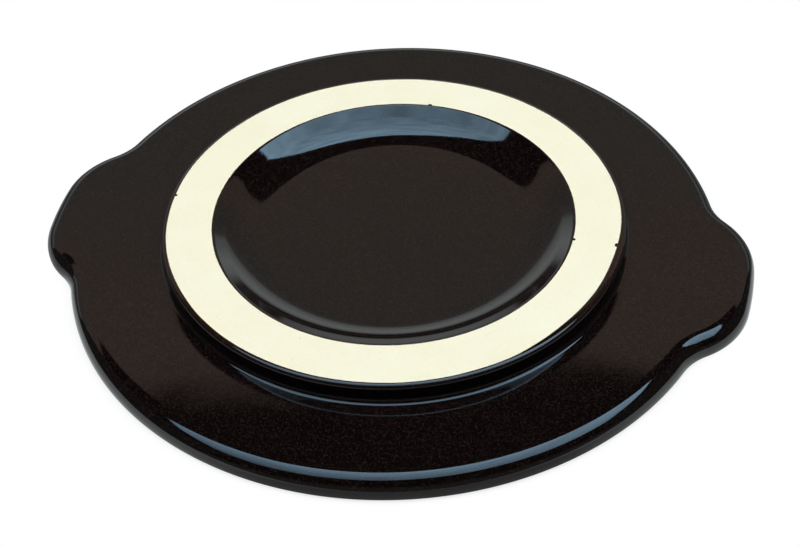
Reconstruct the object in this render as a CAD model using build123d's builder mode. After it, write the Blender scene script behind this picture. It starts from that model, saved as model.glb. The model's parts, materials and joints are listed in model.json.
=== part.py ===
from build123d import *
from math import acos, atan2, cos, degrees, radians, sin, tan
import os

# Lid of a stoneware fermenting crock, lying on its top face with its underside up.
# Millimetres. The origin is the centre of the top face, on the table. +X runs from lug
# to lug, and +Z points out of the underside, which faces down into the crock in use.
# One slab of clay carries three coats of glaze. Each coat is its own solid, and only the
# flat face of the locating ring, on which the lid is fired, is bare clay.

# --- Driving dimensions (outside of the glaze) -----------------------------------------

lid_height = 16.0            # table to the bare face of the locating ring
glaze_thickness = 0.45       # every coat

flange_diameter = 270.5      # round part of the flange, between the lugs
seat_height = 7.5            # flange thickness at the foot of the locating ring
flange_dish_angle = 1.7      # the underside of the flange rises outward by this many degrees
rim_round = 6.9              # rounding of the rim on the underside
rim_foot_round = 1.4         # rounding of the rim at the table
rim_land = 0.3               # least upright wall between the two roundings

lug_reach = 12.8             # how far a lug stands out from the round flange
lug_tip_half_angle = 4.6     # half of the arc at the tip of a lug, in degrees
lug_root_radius = 23.5       # hollow curve from the flange into a lug
lug_corner_radius = 35.7     # round corner of a lug
lug_skew = 3.5               # each lug sits this many degrees off the X axis, towards -Y

ring_outer_diameter = 188.0  # bare face of the locating ring
ring_inner_diameter = 150.0
ring_shoulder_round = 2.0    # outside the bare face, down to the upright wall
ring_root_round = 2.2        # foot of the upright wall, onto the flange

recess_depth = 9.4           # bare face to the middle of the recess floor
floor_radius = 1050.0        # the floor is a very shallow bowl
cove_radius = 34.0           # from the floor up into the sloping wall
wall_slope = 32.5            # sloping wall of the recess, degrees from level
lip_round = 2.0              # from the sloping wall to the bare face

# --- Worked out from the driving dimensions --------------------------------------------

flange_radius = flange_diameter / 2
ring_outer_radius = ring_outer_diameter / 2
ring_inner_radius = ring_inner_diameter / 2
ring_wall_radius = ring_outer_radius + ring_shoulder_round
rim_height = seat_height + (flange_radius - ring_wall_radius) * tan(radians(flange_dish_angle))
rim_upper_round = min(rim_round, rim_height - rim_foot_round - rim_land)
cutter_margin = 10.0
cutter_radius = flange_radius + lug_reach + cutter_margin
cutter_top = lid_height + cutter_margin


def on_circle(centre, radius, angle):
    """Point at this angle, in degrees, on a circle."""
    return (centre[0] + radius * cos(radians(angle)), centre[1] + radius * sin(radians(angle)))


def flange_plan(inset):
    """Plan of the flange with its two lugs, moved inward by the inset. A face on XY."""
    round_edge = flange_radius - inset
    tip_edge = flange_radius + lug_reach - inset
    hollow = lug_root_radius + inset
    corner = lug_corner_radius - inset
    hollow_orbit = round_edge + hollow
    corner_orbit = tip_edge - corner
    # Hollow and corner circles touch, which sets the angle between their centres.
    spread = degrees(
        acos((hollow_orbit**2 + corner_orbit**2 - (hollow + corner) ** 2) / (2 * hollow_orbit * corner_orbit))
    )
    corner_angle = lug_tip_half_angle
    hollow_angle = lug_tip_half_angle + spread
    corner_centre = on_circle((0, 0), corner_orbit, corner_angle)
    hollow_centre = on_circle((0, 0), hollow_orbit, hollow_angle)
    turn_end = degrees(atan2(hollow_centre[1] - corner_centre[1], hollow_centre[0] - corner_centre[0]))
    # Half of a lug lying on +X, from its tip to the round flange, each as (start, middle, end).
    tip = [on_circle((0, 0), tip_edge, turn) for turn in (0, corner_angle / 2, corner_angle)]
    rounding = [
        on_circle(corner_centre, corner, turn)
        for turn in (corner_angle, (corner_angle + turn_end) / 2, turn_end)
    ]
    hollow_start = turn_end + 180
    hollow_end = hollow_angle + 180
    hollowing = [
        on_circle(hollow_centre, hollow, turn)
        for turn in (hollow_start, (hollow_start + hollow_end) / 2, hollow_end)
    ]
    half_lug = [tip, rounding, hollowing]
    right_lug = -lug_skew
    left_lug = 180 + lug_skew
    with BuildSketch() as plan:
        with BuildLine():
            for lug in (right_lug, left_lug):
                for mirrored in (1, -1):
                    for arc in half_lug:
                        points = [Vector(x, mirrored * y).rotate(Axis.Z, lug) for x, y in arc]
                        ThreePointArc(*points)
            far_middle = (right_lug + left_lug) / 2
            CenterArc((0, 0), round_edge, right_lug + hollow_angle, 2 * (far_middle - right_lug - hollow_angle))
            near_start = left_lug + hollow_angle
            near_end = right_lug + 360 - hollow_angle
            CenterArc((0, 0), round_edge, near_start, near_end - near_start)
        make_face()
    return plan.sketch


def underside_section(inset):
    """Half section of what lies above the underside, moved inward by the inset. A face on XZ.

    It runs from the axis over the recess, the locating ring and the flange, and closes
    above them, so that turning it about Z gives the cutter for the whole underside.
    """
    dish = radians(flange_dish_angle)
    slope = radians(wall_slope)
    # Recess: bowl floor, cove, straight wall, lip. The floor's end angle makes all tangent.
    lip = lip_round
    lip_centre = (ring_inner_radius, lid_height - lip)
    lip_end = (ring_inner_radius - lip * sin(slope), lid_height - lip * (1 - cos(slope)))
    floor_centre_height = lid_height - recess_depth + floor_radius
    bowl = floor_radius - cove_radius
    reach = (lip_end[0] - cove_radius * sin(slope)) * sin(slope)
    climb = (floor_centre_height - cove_radius * cos(slope) - lip_end[1]) * cos(slope)
    floor_angle = slope - acos((reach + climb) / bowl)
    cove_centre = (bowl * sin(floor_angle), floor_centre_height - bowl * cos(floor_angle))

    def below(centre, radius, angle):
        """Point on the lower right of a circle, where its slope is this angle."""
        return (centre[0] + radius * sin(angle), centre[1] - radius * cos(angle))

    floor = floor_radius + inset
    cove = cove_radius + inset
    floor_points = [below((0, floor_centre_height), floor, turn) for turn in (0, floor_angle / 2, floor_angle)]
    cove_points = [below(cove_centre, cove, turn) for turn in (floor_angle, (floor_angle + slope) / 2, slope)]
    # Lip: the coat stops at a plumb step under the inner edge of the bare face.
    lip_curve = lip - inset
    wall_top = (lip_centre[0] - lip_curve * sin(slope), lip_centre[1] + lip_curve * cos(slope))
    lip_middle = (lip_centre[0] - lip_curve * sin(slope / 2), lip_centre[1] + lip_curve * cos(slope / 2))
    lip_top = (ring_inner_radius, lid_height - inset)
    # Locating ring: shoulder, upright wall, root curve onto the rising flange.
    shoulder = ring_shoulder_round - inset
    shoulder_centre = (ring_outer_radius, lid_height - ring_shoulder_round)
    shoulder_top = (ring_outer_radius, lid_height - inset)
    shoulder_points = [
        (shoulder_centre[0] + shoulder * sin(turn), shoulder_centre[1] + shoulder * cos(turn))
        for turn in (0, radians(45), radians(90))
    ]
    root = ring_root_round + inset
    wall = ring_wall_radius - inset
    root_centre_radius = ring_wall_radius + ring_root_round
    root_centre = (
        root_centre_radius,
        seat_height + ring_root_round * (tan(dish) + 1 / cos(dish)),
    )
    root_points = [
        (root_centre[0] - root * cos(turn), root_centre[1] - root * sin(turn))
        for turn in (0, radians(45) + dish / 2, radians(90) + dish)
    ]
    flange_start = root_points[-1]
    flange_end = (cutter_radius, flange_start[1] + (cutter_radius - flange_start[0]) * tan(dish))
    with BuildSketch(Plane.XZ) as section:
        with BuildLine():
            ThreePointArc(*floor_points)
            ThreePointArc(*cove_points)
            Line(cove_points[-1], wall_top)
            ThreePointArc(wall_top, lip_middle, lip_top)
            if inset > 0:
                Line(lip_top, (ring_inner_radius, lid_height))
            Line((ring_inner_radius, lid_height), (ring_outer_radius, lid_height))
            if inset > 0:
                Line((ring_outer_radius, lid_height), shoulder_top)
            ThreePointArc(*shoulder_points)
            Line(shoulder_points[-1], (wall, root_centre[1]))
            ThreePointArc(*root_points)
            Line(flange_start, flange_end)
            Line(flange_end, (cutter_radius, cutter_top))
            Line((cutter_radius, cutter_top), (0, cutter_top))
            Line((0, cutter_top), floor_points[0])
        make_face()
    return section.sketch


def lid_slab(inset):
    """The whole lid as one solid, with every glazed surface moved inward by the inset."""
    with BuildPart() as slab:
        with BuildSketch(Plane.XY.offset(inset)):
            add(flange_plan(inset))
        extrude(amount=lid_height - inset)
        with BuildSketch(Plane.XZ):
            add(underside_section(inset))
        revolve(axis=Axis.Z, mode=Mode.SUBTRACT)
        foot_edges = slab.faces().sort_by(Axis.Z)[0].edges()
        fillet(foot_edges, rim_foot_round - inset)
        flange_face = slab.faces().filter_by(GeomType.CONE).sort_by(SortBy.AREA)[-1]
        rim_edges = flange_face.outer_wire().edges()
        fillet(rim_edges, rim_upper_round - inset)
    return slab.part


# --- The clay ---------------------------------------------------------------------------

with BuildPart() as clay_body:
    add(lid_slab(glaze_thickness))

# --- The three coats of glaze -----------------------------------------------------------

# The coat of the top face, on which the lid lies here: a plate as thick as the glaze.
with BuildPart() as top_glaze:
    add(lid_slab(0))
    split(bisect_by=Plane.XY.offset(glaze_thickness), keep=Keep.BOTTOM)

with BuildPart() as upper_coats:
    add(lid_slab(0))
    split(bisect_by=Plane.XY.offset(glaze_thickness), keep=Keep.TOP)
    add(clay_body.part, mode=Mode.SUBTRACT)

# The coat of the rim, the flange and the outside of the locating ring.
with BuildPart() as underside_glaze:
    add(upper_coats.solids().sort_by(SortBy.AREA)[-1])

# The coat of the recess, inside the bare face.
with BuildPart() as recess_glaze:
    add(upper_coats.solids().sort_by(SortBy.AREA)[0])

# --- Write the pieces -------------------------------------------------------------------

os.makedirs("parts", exist_ok=True)

clay_body.part.label = "clay_body"
export_step(clay_body.part, "parts/clay_body.step")

top_glaze.part.label = "top_glaze"
export_step(top_glaze.part, "parts/top_glaze.step")

underside_glaze.part.label = "underside_glaze"
export_step(underside_glaze.part, "parts/underside_glaze.step")

recess_glaze.part.label = "recess_glaze"
export_step(recess_glaze.part, "parts/recess_glaze.step")
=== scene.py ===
"""Looks of the lid of a stoneware fermenting crock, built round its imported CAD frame.

The lid lies on its top face with its underside up. The clay slab is bare only on the flat face
of its locating ring. Dark brown glaze covers the rest, in one coat over the slab and another
in the recess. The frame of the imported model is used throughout, in metres.
"""
import json
import logging
import math
from dataclasses import dataclass, fields
from enum import Enum

import bmesh
import bpy
import numpy as np
from mathutils import Matrix, Vector


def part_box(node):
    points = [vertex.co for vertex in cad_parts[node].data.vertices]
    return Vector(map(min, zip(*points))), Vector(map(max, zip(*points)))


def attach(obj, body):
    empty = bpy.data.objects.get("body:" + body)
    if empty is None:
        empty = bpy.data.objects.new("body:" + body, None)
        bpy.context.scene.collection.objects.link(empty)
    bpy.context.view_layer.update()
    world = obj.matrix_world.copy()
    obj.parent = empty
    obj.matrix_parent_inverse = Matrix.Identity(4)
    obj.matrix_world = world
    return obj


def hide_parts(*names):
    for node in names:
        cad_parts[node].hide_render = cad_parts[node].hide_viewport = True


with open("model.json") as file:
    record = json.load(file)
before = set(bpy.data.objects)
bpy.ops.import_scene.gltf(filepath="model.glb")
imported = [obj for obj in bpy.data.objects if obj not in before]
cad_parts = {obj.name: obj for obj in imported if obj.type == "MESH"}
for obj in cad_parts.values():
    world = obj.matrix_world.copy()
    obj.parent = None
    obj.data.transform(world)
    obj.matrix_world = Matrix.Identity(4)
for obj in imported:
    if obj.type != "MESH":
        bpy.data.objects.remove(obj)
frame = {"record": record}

MM = 0.001
QUARTER = math.pi / 2  # a quarter turn
BODY = "root"
THIN = "thin"  # attribute: how thin the glaze is, from 0 to 1
FREE = "free"  # attribute: how freely a point wanders outward, from 0 to 1
BITE = 0.02 * MM  # how far the inner side of a coat reaches into the clay
SUNK = 0.01 * MM  # how far under the bare face the edge of a coat starts
SQUARE = ((-1, -1), (1, -1), (1, 1), (-1, 1))  # corners, in order
ROOM_TURN = math.radians(16.0)  # turn of the room and the softbox about Z
LOG = logging.getLogger("crock_lid")

Colour = tuple[float, float, float]
Span = tuple[float, float]
Numbers = float | np.ndarray
Socket = bpy.types.NodeSocket
Feed = Socket | float | str | tuple


class Slot(Enum):
    """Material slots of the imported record."""

    CLAY = "bare_clay"
    GLAZE = "brown_glaze"


class Rays(Enum):
    """Which rays a thing of the studio shows itself to."""

    ALL = ("camera", "diffuse", "glossy", "transmission", "shadow")
    REFLECTED = ("glossy", "transmission")


# --- Short hand for node trees and objects --------------------------------------------------


def live(sockets: bpy.types.bpy_prop_collection, name: str | None = None) -> Socket:
    """First enabled socket, or the first with this name."""
    return next(s for s in sockets if s.enabled and name in (None, s.name))


class Wiring:
    """Adds nodes to a tree and feeds their sockets with values or with other sockets."""

    def __init__(self, tree: bpy.types.NodeTree) -> None:
        """Keeps the tree that gets the nodes."""
        self.tree = tree

    def node(self, kind: str, feeds: dict | None = None, **settings) -> bpy.types.Node:
        """Adds one node.

        Args:
            kind: Type name of the node, as bpy names it.
            feeds: Values or sockets for its inputs, by input name or place.
            **settings: Properties of the node.

        Returns:
            The new node.
        """
        made = self.tree.nodes.new(kind)
        for name, value in settings.items():
            setattr(made, name, value)
        for key, value in (feeds or {}).items():
            self.feed(made.inputs[key], value)
        return made

    def out(self, kind: str, feeds: dict | None = None, **settings) -> Socket:
        """First enabled output of a new node."""
        return live(self.node(kind, feeds, **settings).outputs)

    def feed(self, socket: Socket, value: Feed) -> None:
        """Links a socket to another one, or sets its value.

        Args:
            socket: The input socket.
            value: The other socket, or the value.
        """
        if isinstance(value, bpy.types.NodeSocket):
            self.tree.links.new(value, socket)
        else:
            socket.default_value = value

    def math(self, operation: str, *values: Feed, clamp: bool = False) -> Socket:
        """Result of a Math node on these values or sockets."""
        return self.out("ShaderNodeMath", dict(enumerate(values)), operation=operation, use_clamp=clamp)

    def times(self, first: Feed, *others: Feed) -> Socket:
        """Product of values or sockets.

        Args:
            first: The first factor.
            *others: The other factors.

        Returns:
            The product's socket.
        """
        for other in others:
            first = self.math("MULTIPLY", first, other)
        return first

    def line(self, value: Feed, factor: Feed, start: Feed) -> Socket:
        """Value times a factor, plus a start."""
        return self.math("MULTIPLY_ADD", value, factor, start)

    def ramp(
        self, value: Feed, low: float, high: float, bottom: float = 0.0, top: float = 1.0
    ) -> Socket:
        """Value taken smoothly from one range to another.

        Args:
            value: The socket that is read.
            low: Where the rise starts.
            high: Where the rise ends.
            bottom: Result at the start.
            top: Result at the end.

        Returns:
            The result's socket.
        """
        feeds = {0: value, 1: low, 2: high, 3: bottom, 4: top}
        return self.out("ShaderNodeMapRange", feeds, interpolation_type="SMOOTHSTEP")

    def mix(self, factor: Feed, first: Feed, second: Feed) -> Socket:
        """Mixes two colours.

        Args:
            factor: Share of the second colour.
            first: The first colour or its socket.
            second: The second colour or its socket.

        Returns:
            The mixed colour's socket.
        """
        made = self.node("ShaderNodeMix", {"Factor": factor}, data_type="RGBA")
        for name, value in (("A", first), ("B", second)):
            colour = (*value, 1.0) if isinstance(value, tuple) else value
            self.feed(live(made.inputs, name), colour)
        return live(made.outputs)

    def place(self) -> Socket:
        """Place on the object, in its own coordinates."""
        return self.node("ShaderNodeTexCoord").outputs["Object"]

    def room_place(self) -> Socket:
        """The same in the frame of the studio's room."""
        feeds = {"Vector": self.place(), "Angle": -ROOM_TURN}
        return self.out("ShaderNodeVectorRotate", feeds, rotation_type="Z_AXIS")

    def split(self, vector: Socket) -> bpy.types.bpy_prop_collection:
        """Sockets X, Y and Z of a vector."""
        return self.node("ShaderNodeSeparateXYZ", {0: vector}).outputs

    def cloud(self, vector: Socket, scale: Feed, detail: Feed, shift: Feed) -> Socket:
        """Noise at a place, from a shifted pattern."""
        feeds = {"Vector": vector, "Scale": scale, "Detail": detail, "W": shift}
        return self.out("ShaderNodeTexNoise", feeds, noise_dimensions="4D")


class Surface(Wiring):
    """Wiring of a new material or world."""

    def __init__(self, owner: bpy.types.ID, output: str = "ShaderNodeOutputMaterial") -> None:
        """Empties the tree and adds its output node.

        Args:
            owner: The material or world.
            output: Type name of the output node.
        """
        owner.use_nodes = True
        owner.node_tree.nodes.clear()
        super().__init__(owner.node_tree)
        self.owner = owner
        self.end = self.node(output)

    @classmethod
    def material(cls, name: str) -> "Surface":
        """Starts a material of this name."""
        return cls(bpy.data.materials.new(name))

    def shaded(self, shader: Socket) -> bpy.types.ID:
        """Puts a shader on the surface.

        Args:
            shader: The shader's output.

        Returns:
            The finished material or world.
        """
        self.feed(self.end.inputs["Surface"], shader)
        return self.owner

    def principled(self, **inputs: Feed) -> bpy.types.ID:
        """Puts a Principled shader on the surface, with spaces in input names as underscores."""
        feeds = {name.replace("_", " "): value for name, value in inputs.items()}
        return self.shaded(self.out("ShaderNodeBsdfPrincipled", feeds))


def new_group(
    name: str, kind: str, inputs: dict, output: tuple[str, str]
) -> tuple[Wiring, dict, Socket]:
    """Makes a node group with named sockets.

    Args:
        name: Name of the group.
        kind: Type name of the tree.
        inputs: Default value of each input by name, or the socket type of one without a value.
        output: Name and socket type of the output.

    Returns:
        The wiring of the group, its input sockets by name, and the socket that takes its output.
    """
    tree = bpy.data.node_groups.new(name, kind)
    kinds = {float: "NodeSocketFloat", int: "NodeSocketInt"}
    for label, value in inputs.items():
        socket_type = kinds.get(type(value), value)
        made = tree.interface.new_socket(label, in_out="INPUT", socket_type=socket_type)
        if type(value) in kinds:
            made.default_value = value
    tree.interface.new_socket(output[0], in_out="OUTPUT", socket_type=output[1])
    wiring = Wiring(tree)
    given = wiring.node("NodeGroupInput").outputs
    return wiring, {label: given[label] for label in inputs}, wiring.node("NodeGroupOutput").inputs[0]


def add_object(name: str, data: bpy.types.ID) -> bpy.types.Object:
    """Adds an object to the scene.

    Args:
        name: Name of the object.
        data: Its mesh, lamp or camera.

    Returns:
        The new object.
    """
    made = bpy.data.objects.new(name, data)
    bpy.context.scene.collection.objects.link(made)
    return made


# --- Shape of the lid -----------------------------------------------------------------------


def ease(share: Numbers) -> Numbers:
    """Smooth step from 0 to 1 for shares from 0 to 1."""
    clipped = np.clip(share, 0.0, 1.0)
    return clipped * clipped * (3.0 - 2.0 * clipped)


def towards(angles: Numbers) -> np.ndarray:
    """Unit vector seen from above at each angle, one row each."""
    return np.stack([np.cos(angles), np.sin(angles)], axis=-1)


@dataclass(frozen=True)
class LidShape:
    """Sizes of the lid in metres, and the curves that follow from them.

    Those without a value of their own are read from the frame.
    """

    height: float
    glaze: float
    flange_radius: float
    ring_inner_radius: float
    ring_outer_radius: float
    ring_wall_radius: float
    seat_height: float = 7.5 * MM
    dish: float = math.radians(1.4)
    dish_curl: float = 0.138
    rim_round: float = 6.9 * MM
    rim_foot_round: float = 1.4 * MM
    lug_reach: float = 12.79 * MM
    lug_tip_half_angle: float = math.radians(4.6)
    lug_root_radius: float = 23.5 * MM
    lug_corner_radius: float = 35.7 * MM
    lug_skew: float = math.radians(3.5)
    root_round: float = 2.2 * MM
    pool_round: float = 30.0 * MM
    pool_width: float = 3.8 * MM
    ripple_run: float = 9.0 * MM
    recess_depth: float = 9.4 * MM
    floor_radius: float = 1050.0 * MM
    cove_radius: float = 34.0 * MM
    wall_slope: float = math.radians(32.5)
    lip_round: float = 2.0 * MM
    face_step: float = 0.1 * MM

    @classmethod
    def from_frame(cls) -> "LidShape":
        """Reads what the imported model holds.

        Returns:
            The shape of the lid.
        """
        mounts = {m["name"]: m for m in frame["record"]["mounts"]}
        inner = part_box("recess_glaze")[1].x
        middle = mounts["ring_face"]["pos_m"][0]
        return cls(
            height=mounts["ring_face"]["pos_m"][2],
            glaze=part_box("top_glaze")[1].z,
            flange_radius=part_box("underside_glaze")[1].y,
            ring_inner_radius=inner,
            ring_outer_radius=2 * middle - inner,
            ring_wall_radius=mounts["locating_ring"]["dims"]["r_mm"] * MM,
        )

    @property
    def face_height(self) -> float:
        """Height of the bare face, a little under the glaze that laps onto its edges."""
        return self.height - self.face_step

    @property
    def shoulder_round(self) -> float:
        """Rounding between the bare face and the upright wall of the ring."""
        return self.ring_wall_radius - self.ring_outer_radius

    def flange_height(self, radius: Numbers) -> Numbers:
        """Height of the dished flange at a radius, on the outside of the glaze."""
        past = radius - self.ring_wall_radius
        return self.seat_height + past * math.tan(self.dish) + self.dish_curl * past**2

    def flange_slope(self, radius: Numbers) -> Numbers:
        """Slope of the flange along a radius, as a tangent."""
        return math.tan(self.dish) + 2 * self.dish_curl * (radius - self.ring_wall_radius)

    def flange_edge(self, directions: np.ndarray) -> tuple[np.ndarray, np.ndarray]:
        """Edge of the flange seen from above, with its two lugs.

        Args:
            directions: Angle of each point about the centre.

        Returns:
            Points and outward normals, each with one row for each direction.
        """
        corner_round, root_round = self.lug_corner_radius, self.lug_root_radius
        tip_edge = self.flange_radius + self.lug_reach
        root_orbit = self.flange_radius + root_round
        corner_orbit = tip_edge - corner_round
        touch = root_round + corner_round
        squares = root_orbit**2 + corner_orbit**2 - touch**2
        spread = math.acos(squares / (2 * root_orbit * corner_orbit))
        corner_angle = self.lug_tip_half_angle
        root_angle = corner_angle + spread
        corner, root = corner_orbit * towards(corner_angle), root_orbit * towards(root_angle)
        meeting = corner + (root - corner) * corner_round / touch
        meeting_angle = math.atan2(meeting[1], meeting[0])

        lugs = np.array([-self.lug_skew, math.pi + self.lug_skew])
        turns = (directions[:, None] - lugs[None, :] + math.pi) % math.tau - math.pi
        nearest = np.abs(turns).argmin(axis=1)
        turn = np.take_along_axis(turns, nearest[:, None], axis=1)[:, 0]
        side = np.where(turn < 0, -1.0, 1.0)
        turn = np.abs(turn)
        ray = towards(turn)
        reach = np.where(turn <= corner_angle, tip_edge, self.flange_radius)
        normals = ray.copy()
        on_corner = (turn > corner_angle) & (turn <= meeting_angle)
        on_root = (turn > meeting_angle) & (turn < root_angle)
        for on_arc, centre, orbit, angle, rounding, way in (
            (on_corner, corner, corner_orbit, corner_angle, corner_round, 1),
            (on_root, root, root_orbit, root_angle, root_round, -1),
        ):
            lean = turn[on_arc] - angle
            half_chord = np.sqrt(rounding**2 - (orbit * np.sin(lean)) ** 2)
            reach[on_arc] = orbit * np.cos(lean) + way * half_chord
            normals[on_arc] = way * (ray[on_arc] * reach[on_arc, None] - centre) / rounding
        cos, sin = towards(lugs[nearest]).T

        def unfold(rows: np.ndarray) -> np.ndarray:
            """Turns rows from the half frame of their lug back to that of the lid."""
            x, y = rows[:, 0], rows[:, 1] * side
            return np.stack([x * cos - y * sin, x * sin + y * cos], axis=1)

        return unfold(ray * reach[:, None]), unfold(normals)

    def recess_points(
        self, depth: float, edge_depth: float, bowl_steps: int, lip_steps: int
    ) -> list[Span]:
        """Half section of the recess from near the axis out to the bare face.

        Args:
            depth: How far the section lies under the outside of the glaze.
            edge_depth: The same at the lip.
            bowl_steps: Points on the floor, and as many on the cove that leads up from it.
            lip_steps: Points on the lip.

        Returns:
            Radius and height of each point.
        """
        slope = self.wall_slope
        sin, cos = math.sin(slope), math.cos(slope)
        lip_centre = (self.ring_inner_radius, self.height - self.lip_round)
        lip_end = (lip_centre[0] - self.lip_round * sin, lip_centre[1] + self.lip_round * cos)
        floor_centre = self.height - self.recess_depth + self.floor_radius
        bowl = self.floor_radius - self.cove_radius
        reach = (lip_end[0] - self.cove_radius * sin) * sin
        climb = (floor_centre - self.cove_radius * cos - lip_end[1]) * cos
        floor_turn = slope - math.acos((reach + climb) / bowl)
        cove_centre = (bowl * math.sin(floor_turn), floor_centre - bowl * math.cos(floor_turn))
        points = []
        for centre, radius, start, end in (
            ((0.0, floor_centre), self.floor_radius + depth, 0.0, floor_turn),
            (cove_centre, self.cove_radius + depth, floor_turn, slope),
        ):
            for turn in np.linspace(start, end, bowl_steps + 1)[1:]:
                points.append((centre[0] + radius * math.sin(turn), centre[1] - radius * math.cos(turn)))
        for turn in np.linspace(slope, 0, lip_steps):
            lip = self.lip_round - edge_depth - (depth - edge_depth) * ease(turn / slope)
            points.append((lip_centre[0] - lip * math.sin(turn), lip_centre[1] + lip * math.cos(turn)))
        return points


@dataclass(frozen=True)
class Ripple:
    """Slow unevenness of a fired surface: plane waves in seeded directions.

    Attributes:
        height: Root mean square height.
        longest: Longest wave.
        shortest: Shortest wave.
        seed: Seed of the directions and phases.
        waves: How many waves are added up.
    """

    height: float = 0.0
    longest: float = 80 * MM
    shortest: float = 18 * MM
    seed: int = 3
    waves: int = 14

    def at(self, place: np.ndarray) -> np.ndarray:
        """Height of the ripple.

        Args:
            place: Places seen from above, one row each.

        Returns:
            The height at each place.
        """
        draw = np.random.default_rng(self.seed)
        lengths = np.geomspace(self.longest, self.shortest, self.waves)
        weights = lengths / math.sqrt((lengths**2).sum() / 2)
        total = np.zeros(len(place))
        for length, weight in zip(lengths, weights):
            heading, phase = draw.uniform(0, math.tau, 2)
            total += weight * np.sin(place @ towards(heading) * math.tau / length + phase)
        return total * self.height


@dataclass
class Rings:
    """Rings of points round the lid, from one pole to the other, which make a closed mesh.

    Attributes:
        count: Number of points in a ring.
    """

    count: int

    def __post_init__(self) -> None:
        """Starts with no ring."""
        self.directions = np.arange(self.count) * math.tau / self.count
        self.towards = towards(self.directions)
        self.points: list[np.ndarray] = []
        self.thin: list[np.ndarray] = []

    def add(self, place: np.ndarray, z: Numbers, thin: Numbers = 0.0) -> None:
        """Adds a ring.

        Args:
            place: Place of each point seen from above, one row each.
            z: Height of each point.
            thin: How thin the glaze is at each point, from 0 to 1.
        """
        self.points.append(np.column_stack([place, np.broadcast_to(z, self.count)]))
        self.thin.append(np.broadcast_to(thin, self.count))

    def add_round(self, radius: Numbers, z: Numbers, thin: Numbers = 0.0) -> None:
        """Adds a ring about the centre, at one radius or one for each direction."""
        self.add(self.towards * np.reshape(radius, (-1, 1)), z, thin)

    def reverse(self) -> None:
        """Turns the order of the rings round."""
        self.points.reverse()
        self.thin.reverse()

    def mesh(self, name: str, first_pole: float, last_pole: float) -> bpy.types.Object:
        """Makes the closed mesh, with its faces outward.

        Args:
            name: Name of the object.
            first_pole: Height of the pole before the first ring.
            last_pole: Height of the pole after the last ring.

        Returns:
            The new object.
        """
        rows = np.concatenate(self.points)
        vertices = [(0.0, 0.0, first_pole), *map(tuple, rows), (0.0, 0.0, last_pole)]
        last = len(vertices) - 1
        starts = range(1, last, self.count)
        faces = []
        for i in range(self.count):
            j = (i + 1) % self.count
            faces.append((0, 1 + j, 1 + i))
            for here, there in zip(starts, starts[1:]):
                faces.append((here + i, here + j, there + j, there + i))
            faces.append((last, starts[-1] + i, starts[-1] + j))
        mesh = bpy.data.meshes.new(name)
        mesh.from_pydata(vertices, [], faces)
        values = np.concatenate([[0.0], *self.thin, [0.0]]).astype(np.float32)
        mesh.attributes.new(THIN, "FLOAT", "POINT").data.foreach_set("value", values)
        face_outward(mesh)
        return add_object(name, mesh)


def face_outward(mesh: bpy.types.Mesh) -> None:
    """Turns the faces of a closed mesh outward and shades it smooth, except over sharp edges.

    Args:
        mesh: The mesh.
    """
    work = bmesh.new()
    work.from_mesh(mesh)
    bmesh.ops.recalc_face_normals(work, faces=work.faces)
    work.to_mesh(mesh)
    work.free()
    mesh.shade_smooth()
    mesh.set_sharp_from_angle(angle=math.radians(55))


# --- Finishes -------------------------------------------------------------------------------


@dataclass(frozen=True)
class Mottle:
    """Cloudy pattern: its size, how many finer layers it has, and how far it is shifted."""

    size: float
    detail: float
    shift: float = 0.0


@dataclass(frozen=True)
class Specks:
    """Small round spots: spacing of their grid, their size, and the share of its cells with one."""

    spacing: float
    size: float
    share: float


class SharedEffects:
    """Shader node groups that more than one finish uses."""

    def __init__(self) -> None:
        """Builds each group once."""
        self.groups = {Mottle: self._mottle(), Specks: self._specks()}

    def add(self, wiring: Wiring, pattern: "Mottle | Specks") -> Socket:
        """Places the group of a pattern in a material, with the pattern's own values.

        Args:
            wiring: Wiring of the material.
            pattern: The pattern.

        Returns:
            The pattern's value.
        """
        values = {field.name.title(): getattr(pattern, field.name) for field in fields(pattern)}
        return wiring.out("ShaderNodeGroup", values, node_tree=self.groups[type(pattern)])

    @staticmethod
    def _mottle() -> bpy.types.NodeTree:
        """Cloudy value from 0 to 1 at one size, with finer cloud in it.

        Returns:
            The node group.
        """
        inputs = {"Size": 1 * MM, "Detail": 2.0, "Shift": 0.0}
        output = ("Value", "NodeSocketFloat")
        wiring, given, result = new_group("Mottle", "ShaderNodeTree", inputs, output)
        scale = wiring.math("DIVIDE", 1.0, given["Size"])
        cloud = wiring.cloud(wiring.place(), scale, given["Detail"], given["Shift"])
        wiring.feed(result, wiring.ramp(cloud, 0.28, 0.72))
        return wiring.tree

    @staticmethod
    def _specks() -> bpy.types.NodeTree:
        """Mask of small round spots that sit in some cells of a grid.

        Returns:
            The node group.
        """
        inputs = {"Spacing": 6 * MM, "Size": 0.04, "Share": 0.3}
        output = ("Mask", "NodeSocketFloat")
        wiring, given, result = new_group("Specks", "ShaderNodeTree", inputs, output)
        scale = wiring.math("DIVIDE", 1.0, given["Spacing"])
        cells = wiring.node("ShaderNodeTexVoronoi", {"Vector": wiring.place(), "Scale": scale}).outputs
        draw = wiring.node("ShaderNodeSeparateColor", {0: cells["Color"]}).outputs
        chosen = wiring.math("LESS_THAN", draw[0], given["Share"])
        size = wiring.times(given["Size"], wiring.math("ADD", 0.5, draw[1]))
        near = wiring.math("SUBTRACT", 1.0, wiring.math("DIVIDE", cells["Distance"], size), clamp=True)
        wiring.feed(result, wiring.times(wiring.ramp(near, 0.0, 0.35), chosen))
        return wiring.tree


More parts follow.
